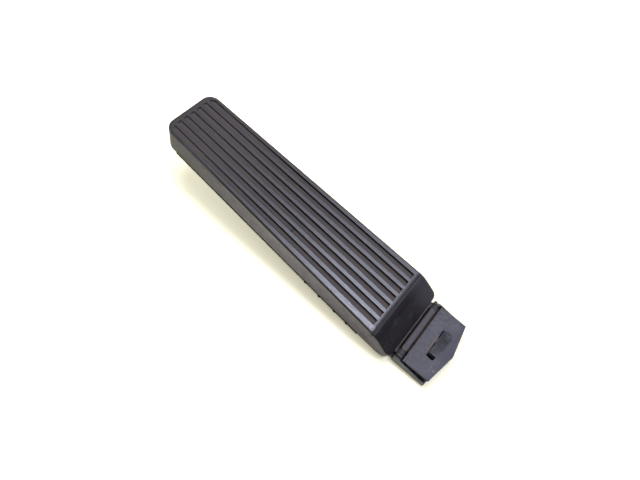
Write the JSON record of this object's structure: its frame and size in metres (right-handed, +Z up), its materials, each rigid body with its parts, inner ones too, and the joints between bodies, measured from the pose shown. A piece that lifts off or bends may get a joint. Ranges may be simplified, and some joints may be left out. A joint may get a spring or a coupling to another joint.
{
  "type": "accelerator pedal",
  "caption": "Floor-hinged accelerator pedal: long tapered moulded pedal with fanned tread grooves, turning on a steel pin in a snap-in foot.",
  "frame": {"origin": "middle of the foot's underside, on the pedal's middle plane", "axes": "+X along the pedal from the foot to its far end, +Y across it, +Z up from the floor that the foot stands on"},
  "size_m": [0.2355, 0.057, 0.045],
  "materials": {
    "pedal_plastic": "satin moulded black, scuffed and dusty",
    "foot_plastic": "satin moulded black, scratched",
    "pin_steel": "plain steel with a film of rust"
  },
  "bodies": {
    "foot": {"foot_base": "foot_plastic", "hinge_pin": "pin_steel"},
    "pedal": {"pedal_body": "pedal_plastic"}
  },
  "joints": [
    {"name": "pedal_swing", "type": "hinge", "parent": "foot", "child": "pedal", "pos_m": [0.008, 0, 0.0058], "axis": [0, -1, 0], "range_deg": [0, 28]}
  ]
}
